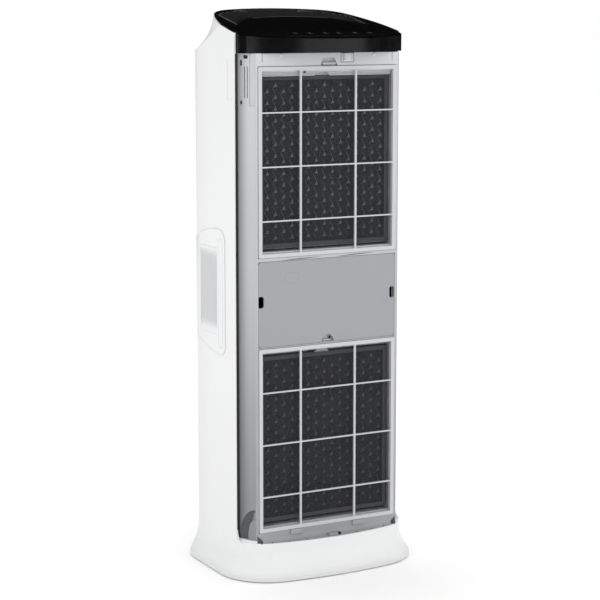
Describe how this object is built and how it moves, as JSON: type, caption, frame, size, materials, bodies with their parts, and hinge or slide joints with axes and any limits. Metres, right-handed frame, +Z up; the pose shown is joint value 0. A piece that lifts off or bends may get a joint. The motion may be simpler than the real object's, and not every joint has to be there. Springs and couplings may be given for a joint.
{
  "type": "air purifier",
  "caption": "Tall two-fan air purifier tower on a flared foot, front cover off, with two grid-framed filter bays, a centre cover and a sloping black control head.",
  "frame": {"origin": "middle of the footprint on the floor", "axes": "+Z up, -Y out of the front with the filter bays, +X to the right seen from the front"},
  "size_m": [0.399, 0.328, 1.0599],
  "materials": {
    "white_casing": "satin white moulding",
    "white_rim": "fine texture",
    "rubber": "matte",
    "chassis_grey": "fine spark texture",
    "black_gloss": "piano black",
    "black_glass": "polished, printed from behind",
    "black_satin": "satin",
    "seam_black": "matte",
    "vent_grey": "satin",
    "cover_grey": "fine texture",
    "duct_black": "matte",
    "circuit_board": "solder mask",
    "coil_steel": "varnished",
    "brass_pin": "plated",
    "latch_metal": "brushed",
    "frame_grey": "fine texture",
    "dust_mesh": "open weave",
    "filter_rim": "matte",
    "carbon": "granular",
    "hepa_border": "board",
    "hepa_paper": "pleated paper",
    "wheel_plastic": "satin",
    "shaft_steel": "brushed",
    "motor_steel": "zinc plated"
  },
  "bodies": {
    "casing": {"outer_shell": "white_casing", "foot_skirt": "white_casing", "base_tray": "white_rim", "rubber_feet": "rubber", "lip_shelf": "chassis_grey", "head_cap": "black_gloss", "control_glass": "black_glass", "outlet_louvre": "black_satin", "front_chassis": "chassis_grey", "side_wall_left": "chassis_grey", "side_wall_right": "chassis_grey", "seam_trim_left": "seam_black", "seam_trim_right": "seam_black", "side_vent_surround_left": "white_casing", "side_vent_surround_right": "white_casing", "side_vent_grille_left": "vent_grey", "side_vent_grille_right": "vent_grey", "fan_partition": "chassis_grey", "outlet_duct": "duct_black", "control_board": "circuit_board", "power_board": "circuit_board", "power_transformer": "coil_steel", "power_inlet": "seam_black", "inlet_pins": "brass_pin", "air_quality_sensor": "seam_black", "cover_switch": "chassis_grey", "bottom_tabs": "chassis_grey", "cover_catch": "latch_metal", "motor_screws": "latch_metal", "lower_fan_housing": "duct_black", "lower_inlet_grille": "seam_black", "lower_fan_motor": "motor_steel", "lower_motor_mount": "shaft_steel", "upper_fan_housing": "duct_black", "upper_inlet_grille": "seam_black", "upper_fan_motor": "motor_steel", "upper_motor_mount": "shaft_steel"},
    "upper_wheel": {"upper_impeller": "wheel_plastic", "upper_fan_shaft": "shaft_steel", "upper_fan_nut": "shaft_steel"},
    "lower_wheel": {"lower_impeller": "wheel_plastic", "lower_fan_shaft": "shaft_steel", "lower_fan_nut": "shaft_steel"},
    "upper_prefilter": {"upper_prefilter_frame": "frame_grey", "upper_prefilter_mesh": "dust_mesh"},
    "lower_prefilter": {"lower_prefilter_frame": "frame_grey", "lower_prefilter_mesh": "dust_mesh"},
    "upper_carbon_filter": {"upper_carbon_rim": "filter_rim", "upper_carbon_core": "carbon", "upper_carbon_tab": "chassis_grey"},
    "lower_carbon_filter": {"lower_carbon_rim": "filter_rim", "lower_carbon_core": "carbon", "lower_carbon_tab": "chassis_grey"},
    "upper_fine_filter": {"upper_hepa_border": "hepa_border", "upper_hepa_pleats": "hepa_paper"},
    "lower_fine_filter": {"lower_hepa_border": "hepa_border", "lower_hepa_pleats": "hepa_paper"},
    "cover": {"centre_cover": "cover_grey"},
    "upper_catch": {"top_latch": "latch_metal"},
    "lower_catch": {"bottom_latch": "latch_metal"}
  },
  "joints": [
    {"name": "upper_wheel_spin", "type": "hinge", "parent": "casing", "child": "upper_wheel", "pos_m": [0, 0.02, 0.79], "axis": [0, 1, 0], "continuous": true},
    {"name": "lower_wheel_spin", "type": "hinge", "parent": "casing", "child": "lower_wheel", "pos_m": [0, 0.02, 0.25], "axis": [0, 1, 0], "continuous": true},
    {"name": "upper_fine_filter_draw", "type": "slide", "parent": "casing", "child": "upper_fine_filter", "axis": [0, -1, 0], "range_m": [0, 0.1]},
    {"name": "upper_carbon_filter_draw", "type": "slide", "parent": "casing", "child": "upper_carbon_filter", "axis": [0, -1, 0], "range_m": [0, 0.2]},
    {"name": "upper_prefilter_draw", "type": "slide", "parent": "casing", "child": "upper_prefilter", "axis": [0, -1, 0], "range_m": [0, 0.3]},
    {"name": "lower_fine_filter_draw", "type": "slide", "parent": "casing", "child": "lower_fine_filter", "axis": [0, -1, 0], "range_m": [0, 0.1]},
    {"name": "lower_carbon_filter_draw", "type": "slide", "parent": "casing", "child": "lower_carbon_filter", "axis": [0, -1, 0], "range_m": [0, 0.2]},
    {"name": "lower_prefilter_draw", "type": "slide", "parent": "casing", "child": "lower_prefilter", "axis": [0, -1, 0], "range_m": [0, 0.3]},
    {"name": "cover_draw", "type": "slide", "parent": "casing", "child": "cover", "axis": [0, -1, 0], "range_m": [0, 0.08]},
    {"name": "upper_catch_press", "type": "slide", "parent": "casing", "child": "upper_catch", "axis": [0, 0, 1], "range_m": [0, 0.002], "stiffness_N_per_m": 200, "springref_m": -0.001},
    {"name": "lower_catch_press", "type": "slide", "parent": "casing", "child": "lower_catch", "axis": [0, 1, 0], "range_m": [0, 0.0015], "stiffness_N_per_m": 200, "springref_m": -0.001}
  ],
  "couplings": [
    {"joint": "upper_carbon_filter_draw", "follows": "upper_fine_filter_draw", "ratio": 2},
    {"joint": "upper_prefilter_draw", "follows": "upper_fine_filter_draw", "ratio": 3},
    {"joint": "lower_carbon_filter_draw", "follows": "lower_fine_filter_draw", "ratio": 2},
    {"joint": "lower_prefilter_draw", "follows": "lower_fine_filter_draw", "ratio": 3}
  ]
}
